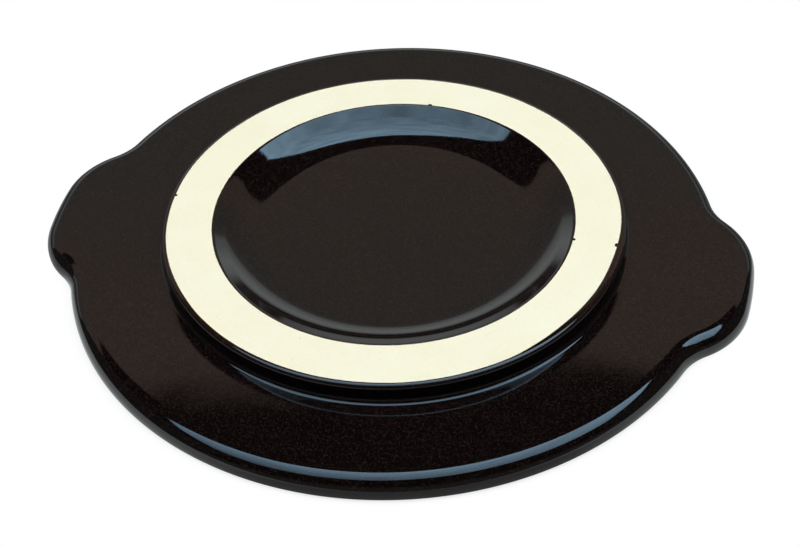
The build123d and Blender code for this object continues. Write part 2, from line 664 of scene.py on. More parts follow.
@dataclass(frozen=True)
class GlazeFinish:
    """Glossy dark brown stoneware glaze that breaks to a lighter brown where it is thin.

    Attributes:
        deep: Colour where the glaze is thick.
        cloud: Colour of the redder clouds in it.
        fleck: Colour of the finest flecks in it.
        edge: Colour where it is thin, over the cream clay.
        fine: Pattern of the fine clouds.
        broad: Pattern of the broad clouds.
        fine_share: Share of the fine clouds in the colour, beside the broad ones.
        flecks: Pattern of the flecks.
        fleck_reach: Range of that pattern over which a fleck comes up.
        thin_spread: How much the fine clouds add to the share of the thin colour, and its least.
        pits: Pattern of the pinholes.
        pit_roughness: How much rougher the gloss is in a pinhole.
        roughness: Roughness of the gloss, and how much the fine clouds add.
        peel: Pattern of the orange peel.
        peel_height: Height of the orange peel.
        grain: Pattern of the fine grain in the gloss.
        grain_height: Height of that grain.
    """

    deep: Colour = (0.0018, 0.0013, 0.0014)
    cloud: Colour = (0.0040, 0.0024, 0.0023)
    fleck: Colour = (0.0200, 0.0118, 0.0112)
    edge: Colour = (0.15, 0.070, 0.040)
    fine: Mottle = Mottle(0.9 * MM, detail=3.0)
    broad: Mottle = Mottle(17 * MM, detail=2.0, shift=4.0)
    fine_share: float = 0.65
    flecks: Mottle = Mottle(0.45 * MM, detail=2.0, shift=7.0)
    fleck_reach: Span = (0.60, 0.95)
    thin_spread: Span = (0.4, 0.75)
    pits: Specks = Specks(9 * MM, size=0.03, share=0.35)
    pit_roughness: float = 0.3
    roughness: Span = (0.034, 0.02)
    peel: Mottle = Mottle(2.2 * MM, detail=0.0, shift=9.0)
    peel_height: float = 0.001 * MM
    grain: Mottle = Mottle(0.5 * MM, detail=1.0, shift=6.0)
    grain_height: float = 0.0013 * MM

    def material(self, effects: SharedEffects) -> bpy.types.Material:
        """Builds the material.

        Args:
            effects: Node groups shared between the finishes.

        Returns:
            The new material.
        """
        wiring = Surface.material("brown_glaze_finish")
        patterns = (self.fine, self.broad, self.flecks, self.pits, self.peel, self.grain)
        fine, broad, flecks, pits, peel, grain = (effects.add(wiring, pattern) for pattern in patterns)
        share = wiring.line(broad, 1 - self.fine_share, wiring.times(fine, self.fine_share))
        body = wiring.mix(share, self.deep, self.cloud)
        body = wiring.mix(wiring.ramp(flecks, *self.fleck_reach), body, self.fleck)
        thin = wiring.node("ShaderNodeAttribute", attribute_name=THIN).outputs["Fac"]
        thinned = wiring.math("MULTIPLY", thin, wiring.line(fine, *self.thin_spread), clamp=True)
        least, added = self.roughness
        rough = wiring.line(pits, self.pit_roughness, wiring.line(fine, added, least))
        feeds = {"Height": wiring.math("SUBTRACT", peel, pits), "Distance": self.peel_height}
        waves = wiring.out("ShaderNodeBump", feeds)
        feeds = {"Height": grain, "Distance": self.grain_height, "Normal": waves}
        bump = wiring.out("ShaderNodeBump", feeds)
        colour = wiring.mix(thinned, body, self.edge)
        return wiring.principled(Base_Color=colour, Roughness=rough, Normal=bump, IOR=1.5)


@dataclass(frozen=True)
class ClayFinish:
    """Matt cream stoneware, fired bare.

    Attributes:
        cream: Main colour.
        warm: Colour of the warmer clouds.
        iron: Colour of the iron specks.
        broad: Pattern of the broad clouds.
        grain: Pattern of the grain.
        grain_share: Share of the grain in the colour, beside the broad clouds.
        stains: Pattern of the small stains of iron.
        stain_strength: How much of the iron colour the stains have.
        roughness: Roughness of the face, and how much the grain adds.
        tooth: Height of the grain.
        iron_grain: Pattern of the raised iron specks.
        iron_roughness: Roughness of those specks.
    """

    cream: Colour = (0.90, 0.89, 0.73)
    warm: Colour = (0.855, 0.83, 0.60)
    iron: Colour = (0.30, 0.20, 0.12)
    broad: Mottle = Mottle(22 * MM, detail=3.0, shift=2.0)
    grain: Mottle = Mottle(0.7 * MM, detail=4.0)
    grain_share: float = 0.6
    stains: Specks = Specks(5 * MM, size=0.045, share=0.3)
    stain_strength: float = 0.55
    roughness: Span = (0.8, 0.12)
    tooth: float = 0.02 * MM
    iron_grain: Mottle = Mottle(0.1 * MM, detail=2.0)
    iron_roughness: float = 0.6

    def material(self, effects: SharedEffects) -> bpy.types.Material:
        """Builds the material.

        Args:
            effects: Node groups shared between the finishes.

        Returns:
            The new material.
        """
        wiring = Surface.material("bare_clay_finish")
        patterns = (self.broad, self.grain, self.stains)
        broad, grain, stains = (effects.add(wiring, pattern) for pattern in patterns)
        tone = wiring.line(grain, self.grain_share, wiring.times(broad, 1 - self.grain_share))
        colour = wiring.mix(tone, self.cream, self.warm)
        colour = wiring.mix(wiring.times(stains, self.stain_strength), colour, self.iron)
        relief = wiring.math("SUBTRACT", grain, stains)
        bump = wiring.out("ShaderNodeBump", {"Height": relief, "Distance": self.tooth})
        least, added = self.roughness
        rough = wiring.line(grain, added, least)
        return wiring.principled(Base_Color=colour, Roughness=rough, Normal=bump)

    def iron_material(self, effects: SharedEffects) -> bpy.types.Material:
        """Builds the material of the raised iron specks.

        Args:
            effects: Node groups shared between the finishes.

        Returns:
            The new material.
        """
        wiring = Surface.material("iron_speck_finish")
        colour = wiring.mix(effects.add(wiring, self.iron_grain), self.iron, self.warm)
        return wiring.principled(Base_Color=colour, Roughness=self.iron_roughness)


# --- The clay and the outer coat ------------------------------------------------------------


@dataclass(frozen=True)
class Steps:
    """How many rings each stretch of a skin has, from the ring's face round to the table."""

    shoulder: int
    wall: int
    root: int
    flange: int
    rim: int
    foot: int
    underneath: int


@dataclass
class Skin:
    """One surface of the slab, the outside of the glaze or the clay under it.

    Attributes:
        shape: Shape of the lid.
        rings: Rings that the surface is added to.
        steps: How many rings it gets.
        depth: How far it lies under the outside of the glaze.
        edge_depth: The same at the thin edges of the glaze, on the ring.
        ripple: Unevenness of the surface.
        pool_steps: Rings on the pooled glaze at the foot of the ring.
        brow_thin: How thin the glaze is at the top of the ring's shoulder.
    """

    shape: LidShape
    rings: Rings
    steps: Steps
    depth: float
    edge_depth: float
    ripple: Ripple
    pool_steps: int = 4
    brow_thin: float = 0.10

    def __post_init__(self) -> None:
        """Works out the edge of the flange, and the flange's slope across it."""
        self.edge, self.normals = self.shape.flange_edge(self.rings.directions)
        radius = np.hypot(*self.edge.T)
        outward = (self.edge * self.normals).sum(axis=1) / radius
        self.lean = self.shape.flange_slope(radius - self.shape.rim_round) * outward

    def wrap(self, start: float) -> None:
        """Adds the whole surface, from the bare face of the ring to the middle of the top face.

        Args:
            start: Angle from the upright where it starts on the ring's shoulder.
        """
        self._shoulder(start)
        self._flange()
        self._rim()
        self._underneath()

    def _inside(self, inward: Numbers) -> np.ndarray:
        """Points so far inside the edge of the flange, one for each direction."""
        return self.edge - self.normals * np.reshape(inward, (-1, 1))

    def _shoulder(self, start: float) -> None:
        """Adds the rounding of the ring, down to its upright wall.

        Args:
            start: Angle from the upright where the first ring lies.
        """
        s = self.shape
        for turn in np.linspace(start, QUARTER, self.steps.shoulder):
            depth = self.edge_depth + (self.depth - self.edge_depth) * ease(turn / QUARTER)
            reach = s.shoulder_round - depth
            z = s.height - s.shoulder_round + reach * math.cos(turn)
            thin = self.brow_thin * math.cos(turn) ** 4
            self.rings.add_round(s.ring_outer_radius + reach * math.sin(turn), z, thin)

    def _flange(self) -> None:
        """Adds the upright wall, the root, the pooled glaze and the flange up to its rim."""
        s = self.shape
        pool_turn = s.pool_width / s.pool_round
        end_slope = s.dish - pool_turn
        root_middle = s.ring_wall_radius + s.root_round
        pool_start = root_middle + s.root_round * math.sin(end_slope)
        pool_end = pool_start + s.pool_width
        pool_height = s.flange_height(pool_start) + s.pool_width * pool_turn / 2
        root_height = pool_height + s.root_round * math.cos(end_slope)
        root = s.root_round + self.depth
        for z in np.linspace(s.height - s.shoulder_round, root_height, self.steps.wall + 2)[1:-1]:
            self.rings.add_round(s.ring_wall_radius - self.depth, z)
        for turn in np.linspace(0, QUARTER + end_slope, self.steps.root):
            radius, z = root_middle - root * math.cos(turn), root_height - root * math.sin(turn)
            self.rings.add_round(radius, z)
        for radius in np.linspace(pool_start, pool_end, self.pool_steps + 1)[1:]:
            self._add_uneven(self.rings.towards * radius, (pool_end - radius) ** 2 / (2 * s.pool_round))
        outer = self._inside(s.rim_round * (1 + self.lean / np.sqrt(1 + self.lean**2)))
        for share in np.linspace(0, 1, self.steps.flange + 1)[1:-1]:
            self._add_uneven(self.rings.towards * pool_end * (1 - share) + outer * share, 0.0)

    def _add_uneven(self, place: np.ndarray, rise: float) -> None:
        """Adds a ring of the flange, with a ripple that starts from nothing at its root.

        Args:
            place: Place of each point seen from above.
            rise: How far the ring lies over the dished flange.
        """
        s = self.shape
        radius = np.hypot(*place.T)
        begun = ease((radius - s.ring_wall_radius - s.root_round) / s.ripple_run)
        z = s.flange_height(radius) + rise - self.depth / math.cos(s.dish)
        self.rings.add(place, z + self.ripple.at(place) * begun)

    def _rim(self) -> None:
        """Adds the rounded rim, from the flange down to the table."""
        s = self.shape
        inner = np.hypot(*self._inside(s.rim_round).T)
        middle = s.flange_height(inner) - s.rim_round * np.sqrt(1 + self.lean**2)
        rounding = s.rim_round - self.depth
        for share in np.linspace(0, 1, self.steps.rim):
            turn = (QUARTER + np.arctan(self.lean)) * (1 - share)
            place = self._inside(s.rim_round - rounding * np.cos(turn))
            uneven = self.ripple.at(place) * (1 - share)
            self.rings.add(place, middle + rounding * np.sin(turn) + uneven)
        foot = s.rim_foot_round - self.depth
        for turn in np.linspace(0, -QUARTER, self.steps.foot):
            place = self._inside(s.rim_foot_round - foot * math.cos(turn))
            self.rings.add(place, s.rim_foot_round + foot * math.sin(turn))

    def _underneath(self) -> None:
        """Adds the flat face on the table, up to the last ring before its centre."""
        outer = self._inside(self.shape.rim_foot_round)
        for share in np.linspace(0, 1, self.steps.underneath + 2)[1:-1]:
            place = outer * (1 - share)
            lift = (self.ripple.at(place) + 2 * self.ripple.height).clip(0) * ease(6 * share)
            self.rings.add(place, self.depth + lift)


@dataclass(frozen=True)
class OuterGlaze:
    """Coat of glaze over the rim, the flange, the outside of the ring and the top face.

    Attributes:
        shape: Shape of the lid.
        ripple: Unevenness of the coat.
        lap_middle: Direction in which the coat laps furthest onto the bare face.
        lap_spread: How far round from there the lap reaches.
        lap_full: How far round it keeps its full width, as a share of that.
        lap_most: Widest lap.
        lap_front: Lap at the front of the ring.
        lap_turn: Angle from the upright at which the lap joins the ring's shoulder.
        lap_shares: Where the rings of the lap lie between its edge and that angle.
        wander: Unevenness of the coat's edge.
        bead_width: Width over which the edge rises from the clay.
        thin_edge: Width over which the edge is thin.
        count: Points round the lid.
        outer_steps: Rings on the outside of the coat.
        inner_steps: Rings on its inner side.
    """

    shape: LidShape
    ripple: Ripple
    lap_middle: float = math.radians(-20)
    lap_spread: float = math.radians(26)
    lap_full: float = 0.35
    lap_most: float = 1.25 * MM
    lap_front: float = 0.25 * MM
    lap_turn: float = math.asin(0.15)
    lap_shares: tuple[float, ...] = (0.0, 0.06, 0.14, 0.26, 0.42, 0.6, 0.8)
    wander: float = 0.10 * MM
    bead_width: float = 0.3 * MM
    thin_edge: float = 0.22 * MM
    count: int = 560
    outer_steps: Steps = Steps(shoulder=14, wall=6, root=16, flange=30, rim=22, foot=9, underneath=14)
    inner_steps: Steps = Steps(shoulder=8, wall=3, root=8, flange=10, rim=10, foot=5, underneath=4)

    def edge_radius(self, angles: np.ndarray) -> np.ndarray:
        """Radius at which the coat ends on the bare face.

        Args:
            angles: The directions about the centre.

        Returns:
            The radius in each direction.
        """
        away = np.abs((angles - self.lap_middle + math.pi) % math.tau - math.pi)
        lap = self.lap_most * ease(1 + self.lap_full - away / self.lap_spread)
        lap = lap + self.lap_front * (0.5 - 0.5 * np.sin(angles))
        edge = Ripple(self.wander, longest=1.1, shortest=0.12, seed=11)
        return self.shape.ring_outer_radius - lap - np.abs(edge.at(towards(angles)))

    def build(self) -> bpy.types.Object:
        """Builds the coat as a closed shell.

        Returns:
            The new object.
        """
        s = self.shape
        rings = Rings(self.count)
        start = self.edge_radius(rings.directions)
        lap_end = s.ring_outer_radius + s.shoulder_round * math.sin(self.lap_turn)
        for share in self.lap_shares:
            past = (lap_end - start) * share
            fill = np.sqrt(1 - (1 - (past / self.bead_width).clip(0, 1)) ** 2)
            beyond = (start + past - s.ring_outer_radius).clip(0)
            top = s.height - beyond**2 / (2 * s.shoulder_round)
            z = s.face_height - SUNK + (top - s.face_height + SUNK) * fill
            rings.add_round(start + past, z, np.exp(-((past / self.thin_edge) ** 2)))
        Skin(s, rings, self.outer_steps, 0.0, 0.0, self.ripple).wrap(self.lap_turn)
        rings.reverse()
        rings.add_round(start + BITE, s.face_height - SUNK - BITE, 1.0)
        Skin(s, rings, self.inner_steps, s.glaze + BITE, s.face_step + BITE, self.ripple).wrap(0.0)
        lift = 2 * self.ripple.height
        return rings.mesh("outer_glaze", lift, s.glaze + BITE + lift)


@dataclass(frozen=True)
class ClaySlab:
    """Pressed slab of clay under the glaze, bare on the face of its ring.

    Attributes:
        shape: Shape of the lid.
        face_ripple: Unevenness of the bare face.
        count: Points round the lid.
        bowl_steps: Rings on the floor of the recess, and as many on its cove.
        lip_steps: Rings on the lip of the recess.
        face_steps: Rings from edge to edge of the bare face.
        steps: Rings on the rest.
    """

    shape: LidShape
    face_ripple: Ripple
    count: int = 420
    bowl_steps: int = 8
    lip_steps: int = 6
    face_steps: int = 18
    steps: Steps = Steps(shoulder=8, wall=3, root=8, flange=12, rim=10, foot=5, underneath=8)

    def build(self) -> bpy.types.Object:
        """Builds the slab as a closed mesh.

        Returns:
            The new object.
        """
        s = self.shape
        rings = Rings(self.count)
        hollow = s.recess_points(s.glaze, s.face_step, self.bowl_steps, self.lip_steps)
        for radius, z in hollow:
            rings.add_round(radius, z)
        for radius in np.linspace(s.ring_inner_radius, s.ring_outer_radius, self.face_steps)[1:-1]:
            place = rings.towards * radius
            rings.add(place, s.face_height + self.face_ripple.at(place))
        Skin(s, rings, self.steps, s.glaze, s.face_step, Ripple()).wrap(0.0)
        return rings.mesh("clay_slab", hollow[0][1], s.glaze)


# --- The recess -----------------------------------------------------------------------------


@dataclass(frozen=True)
class RecessGlaze:
    """Coat of glaze in the recess, turned from its half section by a Geometry Nodes tree.

    Attributes:
        shape: Shape of the lid.
        lap: How far the coat laps past the inner edge of the bare face.
        bead_width: Width over which its edge rises from the clay.
        bead_shares: Where the points of that rise lie, from its top to the edge.
        thin_edge: Width over which the edge is thin.
        brow_thin: How thin the glaze is at the top of the lip.
        wander: Unevenness of the coat's edge.
        wander_run: Width beside the edge over which that unevenness comes up.
        ripple_height: Height of the slow unevenness of the floor.
        ripple_size: Size of that unevenness.
        count: Points round the recess.
        outer_steps: Points on the floor, as many on the cove, and points on the lip.
        inner_steps: The same on the inner side of the coat.
        seed: Seed of both kinds of unevenness.
    """

    shape: LidShape
    lap: float = 0.156 * MM
    bead_width: float = 0.18 * MM
    bead_shares: tuple[float, ...] = (0.75, 0.5, 0.3, 0.15, 0.0)
    thin_edge: float = 0.132 * MM
    brow_thin: float = 0.15
    wander: float = 0.16 * MM
    wander_run: float = 4 * MM
    ripple_height: float = 0.05 * MM
    ripple_size: float = 34 * MM
    count: int = 420
    outer_steps: tuple[int, int] = (26, 14)
    inner_steps: tuple[int, int] = (10, 6)
    seed: int = 5

    def section(self) -> tuple[list[Span], list[float]]:
        """Closed half section of the coat, from axis to axis.

        Returns:
            Radius and height of each point, and how thin the glaze is there.
        """
        s = self.shape
        floor = s.height - s.recess_depth
        points = [(0.0, floor), *s.recess_points(0.0, 0.0, *self.outer_steps)]
        lip = self.outer_steps[1]
        thin = [0.0] * (len(points) - lip)
        thin += [self.brow_thin * (i / (lip - 1)) ** 4 for i in range(lip)]
        for share in self.bead_shares:
            past = self.bead_width * share
            fill = math.sqrt(1 - (1 - share) ** 2)
            z = s.face_height - SUNK + (s.face_step + SUNK) * fill
            points.append((s.ring_inner_radius + self.lap - past, z))
            thin.append(math.exp(-((past / self.thin_edge) ** 2)))
        inside = s.recess_points(s.glaze + BITE, s.face_step + BITE + SUNK, *self.inner_steps)
        points += [*reversed(inside), (0.0, floor - s.glaze - BITE)]
        return points, thin + [0.0] * (len(points) - len(thin))

    def build(self, material: bpy.types.Material) -> bpy.types.Object:
        """Builds the coat as a closed shell.

        Args:
            material: Finish of the coat.

        Returns:
            The new object.
        """
        points, thin = self.section()
        mesh = bpy.data.meshes.new("recess_section")
        mesh.from_pydata([(r, 0.0, z) for r, z in points], [], [])
        past = [r - self.shape.ring_inner_radius + self.wander_run for r, _ in points]
        for name, values in ((THIN, thin), (FREE, ease(np.array(past) / self.wander_run))):
            mesh.attributes.new(name, "FLOAT", "POINT").data.foreach_set("value", values)
        values = {
            "Stations": len(points),
            "Directions": self.count,
            "Edge Wander": self.wander,
            "Ripple Height": self.ripple_height,
            "Ripple Size": self.ripple_size,
            "Seed": self.seed,
            "Material": material,
        }
        return grown("recess_glaze_coat", mesh, turning_tree(), values)


def turning_tree() -> bpy.types.NodeTree:
    """Geometry Nodes tree that turns a half section about Z into a closed skin.

    The section's points come in order as the vertices of the object's own mesh, with how thin the
    glaze is and how freely the point wanders outward in two attributes.

    Returns:
        The node tree.
    """
    inputs = {
        "Section": "NodeSocketGeometry",
        "Stations": 8,
        "Directions": 64,
        "Edge Wander": 0.0,
        "Ripple Height": 0.0,
        "Ripple Size": 30 * MM,
        "Seed": 0,
        "Material": "NodeSocketMaterial",
    }
    output = ("Skin", "NodeSocketGeometry")
    wiring, given, result = new_group("Turned Skin", "GeometryNodeTree", inputs, output)
    columns = wiring.math("ADD", given["Directions"], 1)
    grid = wiring.out("GeometryNodeMeshGrid", {"Vertices X": given["Stations"], "Vertices Y": columns})
    index = wiring.out("GeometryNodeInputIndex")
    station = wiring.math("FLOOR", wiring.math("DIVIDE", wiring.math("ADD", index, 0.5), columns))
    column = wiring.math("SUBTRACT", index, wiring.times(station, columns))

    def sampled(value: Socket, data_type: str = "FLOAT") -> Socket:
        """Samples the section at the vertex's station.

        Args:
            value: What is sampled.
            data_type: Type of that value.

        Returns:
            The sampled value.
        """
        feeds = {"Geometry": given["Section"], "Index": station}
        node = wiring.node("GeometryNodeSampleIndex", feeds, data_type=data_type)
        wiring.feed(live(node.inputs, "Value"), value)
        return live(node.outputs)

    def attribute(name: str) -> Socket:
        """Attribute of the section, sampled."""
        return sampled(wiring.out("GeometryNodeInputNamedAttribute", {"Name": name}, data_type="FLOAT"))

    parts = wiring.split(sampled(wiring.out("GeometryNodeInputPosition"), "FLOAT_VECTOR"))
    thin, free = attribute(THIN), attribute(FREE)
    angle = wiring.math("DIVIDE", wiring.times(column, math.tau), given["Directions"])
    cos, sin = wiring.math("COSINE", angle), wiring.math("SINE", angle)

    def noise(x: Socket, y: Socket, scale: Feed, detail: float) -> Socket:
        """Noise about zero at a place."""
        where = wiring.out("ShaderNodeCombineXYZ", {"X": x, "Y": y})
        return wiring.math("SUBTRACT", wiring.cloud(where, scale, detail, given["Seed"]), 0.5)

    wander = wiring.times(noise(cos, sin, 9.0, 3.0), free, given["Edge Wander"])
    radius = wiring.math("ADD", parts["X"], wander)
    x, y = wiring.times(radius, cos), wiring.times(radius, sin)
    ripple = noise(x, y, wiring.math("DIVIDE", 1.0, given["Ripple Size"]), 0.0)
    ripple = wiring.times(ripple, given["Ripple Height"], wiring.math("SUBTRACT", 1.0, free))
    z = wiring.math("ADD", parts["Z"], ripple)
    moved = wiring.out("ShaderNodeCombineXYZ", {"X": x, "Y": y, "Z": z})
    placed = wiring.out("GeometryNodeSetPosition", {"Geometry": grid, "Position": moved})
    feeds = {"Geometry": placed, "Name": THIN}
    stored = wiring.node("GeometryNodeStoreNamedAttribute", feeds, data_type="FLOAT")
    wiring.feed(live(stored.inputs, "Value"), thin)
    feeds = {"Geometry": stored.outputs[0], "Distance": 0.001 * MM}
    welded = wiring.out("GeometryNodeMergeByDistance", feeds)
    return finished(wiring, welded, given["Material"], result)


def finished(wiring: Wiring, geometry: Socket, material: Socket, result: Socket) -> bpy.types.NodeTree:
    """Ends a tree: instances made real, and the finish set.

    Args:
        wiring: Wiring of the tree.
        geometry: What the tree has made.
        material: The finish.
        result: Socket that takes the finished geometry.

    Returns:
        The tree.
    """
    real = wiring.out("GeometryNodeRealizeInstances", {"Geometry": geometry})
    wiring.feed(result, wiring.out("GeometryNodeSetMaterial", {"Geometry": real, "Material": material}))
    return wiring.tree


def grown(name: str, mesh: bpy.types.Mesh, tree: bpy.types.NodeTree, values: dict) -> bpy.types.Object:
    """Runs a Geometry Nodes tree on a mesh and keeps the result as a plain mesh.

    Args:
        name: Name of the finished object.
        mesh: Mesh that the tree starts from.
        tree: The tree.
        values: Its inputs by name.

    Returns:
        The finished object.
    """
    carrier = add_object(f"{name}_carrier", mesh)
    modifier = carrier.modifiers.new("grow", "NODES")
    modifier.node_group = tree
    items = tree.interface.items_tree
    sockets = {item.name: item.identifier for item in items if item.in_out == "INPUT"}
    for label, value in values.items():
        modifier[sockets[label]] = value
    bpy.context.view_layer.update()
    evaluated = carrier.evaluated_get(bpy.context.evaluated_depsgraph_get())
    result = bpy.data.meshes.new_from_object(evaluated)
    carrier.modifiers.remove(modifier)
    bpy.data.objects.remove(carrier)
    bpy.data.meshes.remove(mesh)
    result.name = name
    face_outward(result)
    return add_object(name, result)


# --- Small marks ----------------------------------------------------------------------------


@dataclass(frozen=True)
class Blobs:
    """Small rounded blobs, some at given places and some strewn over a round band.

    Attributes:
        name: Name of the piece.
        places: Angle in degrees and radius of each placed blob.
        band: Inner and outer radius of the band that the others are strewn over.
        height: Height of the surface that they sit on.
        sizes: Smallest and largest half width.
        flatness: Height of a blob as a share of its width.
        seed: Seed of places, widths and turns.
        count: Number of strewn blobs.
    """

    name: str
    places: tuple[Span, ...]
    band: Span
    height: float
    sizes: Span
    flatness: float
    seed: int
    count: int = 0

    def build(self, material: bpy.types.Material) -> bpy.types.Object:
        """Builds the blobs as one mesh.

        Args:
            material: Finish of the blobs.

        Returns:
            The new object.
        """
        mesh = bpy.data.meshes.new(f"{self.name}_places")
        points = [(*towards(math.radians(turn)) * radius, self.height) for turn, radius in self.places]
        mesh.from_pydata(points, [], [])
        values = {
            "Count": self.count,
            "Inner Radius": self.band[0],
            "Outer Radius": self.band[1],
            "Height": self.height,
            "Smallest": self.sizes[0],
            "Largest": self.sizes[1],
            "Flatness": self.flatness,
            "Seed": self.seed,
            "Material": material,
        }
        return grown(self.name, mesh, blob_tree(), values)


def blob_tree() -> bpy.types.NodeTree:
    """Geometry Nodes tree that sets flattened blobs on given points and over a round band.

    Returns:
        The node tree, made once.
    """
    name = "Blobs On A Band"
    if name in bpy.data.node_groups:
        return bpy.data.node_groups[name]
    inputs = {
        "Places": "NodeSocketGeometry",
        "Count": 0,
        "Inner Radius": 10 * MM,
        "Outer Radius": 20 * MM,
        "Height": 0.0,
        "Smallest": 0.1 * MM,
        "Largest": 0.4 * MM,
        "Flatness": 0.3,
        "Seed": 0,
        "Material": "NodeSocketMaterial",
    }
    output = ("Blobs", "NodeSocketGeometry")
    wiring, given, result = new_group(name, "GeometryNodeTree", inputs, output)

    def drawn(low: Feed, high: Feed, step: int) -> Socket:
        """Random number for each point.

        Args:
            low: Smallest number.
            high: Largest number.
            step: Which stream of draws it comes from.

        Returns:
            The number.
        """
        feeds = {"Seed": wiring.math("ADD", given["Seed"], step)}
        node = wiring.node("FunctionNodeRandomValue", feeds, data_type="FLOAT")
        wiring.feed(live(node.inputs, "Min"), low)
        wiring.feed(live(node.inputs, "Max"), high)
        return live(node.outputs)

    turn = drawn(0.0, math.tau, 1)
    radius = drawn(given["Inner Radius"], given["Outer Radius"], 2)
    x, y = (wiring.times(radius, wiring.math(way, turn)) for way in ("COSINE", "SINE"))
    strewn = wiring.out("ShaderNodeCombineXYZ", {"X": x, "Y": y, "Z": given["Height"]})
    loose = wiring.out("GeometryNodePoints", {"Count": given["Count"], "Position": strewn})
    placed = wiring.out("GeometryNodeMeshToPoints", {"Mesh": given["Places"]})
    both = wiring.node("GeometryNodeJoinGeometry")
    for points in (loose, placed):
        wiring.feed(both.inputs[0], points)
    width = drawn(given["Smallest"], given["Largest"], 3)
    length = wiring.times(width, drawn(0.6, 1.5, 4))
    scale = {"X": width, "Y": length, "Z": wiring.times(width, given["Flatness"])}
    feeds = {
        "Points": both.outputs[0],
        "Instance": wiring.out("GeometryNodeMeshIcoSphere", {"Radius": 1.0, "Subdivisions": 3}),
        "Rotation": wiring.out("ShaderNodeCombineXYZ", {"Z": drawn(0.0, math.tau, 5)}),
        "Scale": wiring.out("ShaderNodeCombineXYZ", scale),
    }
    set_out = wiring.out("GeometryNodeInstanceOnPoints", feeds)
    return finished(wiring, set_out, given["Material"], result)


# --- Studio ---------------------------------------------------------------------------------


@dataclass(frozen=True)
class LidCamera:
    """Camera on the lid, aimed from a point over the middle of the bare ring.

    Attributes:
        azimuth: Turn about Z from looking along +Y.
        elevation: Height above the horizon.
        distance: From the ring's middle.
        aim_right: How far right of the ring's middle it aims.
        aim_up: How far above the ring's middle it aims, in its own view.
        roll: Turn about its own axis.
        lens: Focal length in millimetres.
    """

    azimuth: float = math.radians(14.2)
    elevation: float = math.radians(41.12)
    distance: float = 0.5617
    aim_right: float = 1.485 * MM
    aim_up: float = -25.05 * MM
    roll: float = -0.0533
    lens: float = 60.99

    def place(self, middle: Vector) -> None:
        """Makes the camera and gives it to the scene.

        Args:
            middle: Middle of the ring's face.
        """
        side = Vector((*towards(self.azimuth), 0.0))
        ahead = Vector((-side.y, side.x, 0.0))
        back = Vector((0, 0, math.sin(self.elevation))) - ahead * math.cos(self.elevation)
        eye = middle + back * self.distance
        aim = middle + side * self.aim_right + side.cross(-back) * self.aim_up
        forward = (aim - eye).normalized()
        right = forward.cross(Vector((0, 0, 1))).normalized()
        axes = Matrix((right, right.cross(forward), -forward)).transposed().to_4x4()
        data = bpy.data.cameras.new("lid_camera")
        data.lens = self.lens
        camera = add_object("lid_camera", data)
        camera.matrix_world = Matrix.Translation(eye) @ axes @ Matrix.Rotation(self.roll, 4, "Z")
        bpy.context.scene.camera = camera


def set_piece(name: str, corners: list, material: bpy.types.Material, seen_by: Rays) -> None:
    """Adds a flat thing of the studio.

    Args:
        name: Name of the object.
        corners: Its corners in the frame of the room.
        material: Its material.
        seen_by: Which rays see it.
    """
    room = Matrix.Rotation(ROOM_TURN, 3, "Z")
    mesh = bpy.data.meshes.new(name)
    mesh.from_pydata([room @ Vector(corner) for corner in corners], [], [range(len(corners))])
    mesh.materials.append(material)
    made = add_object(name, mesh)
    for ray in Rays.ALL.value:
        setattr(made, f"visible_{ray}", ray in seen_by.value)


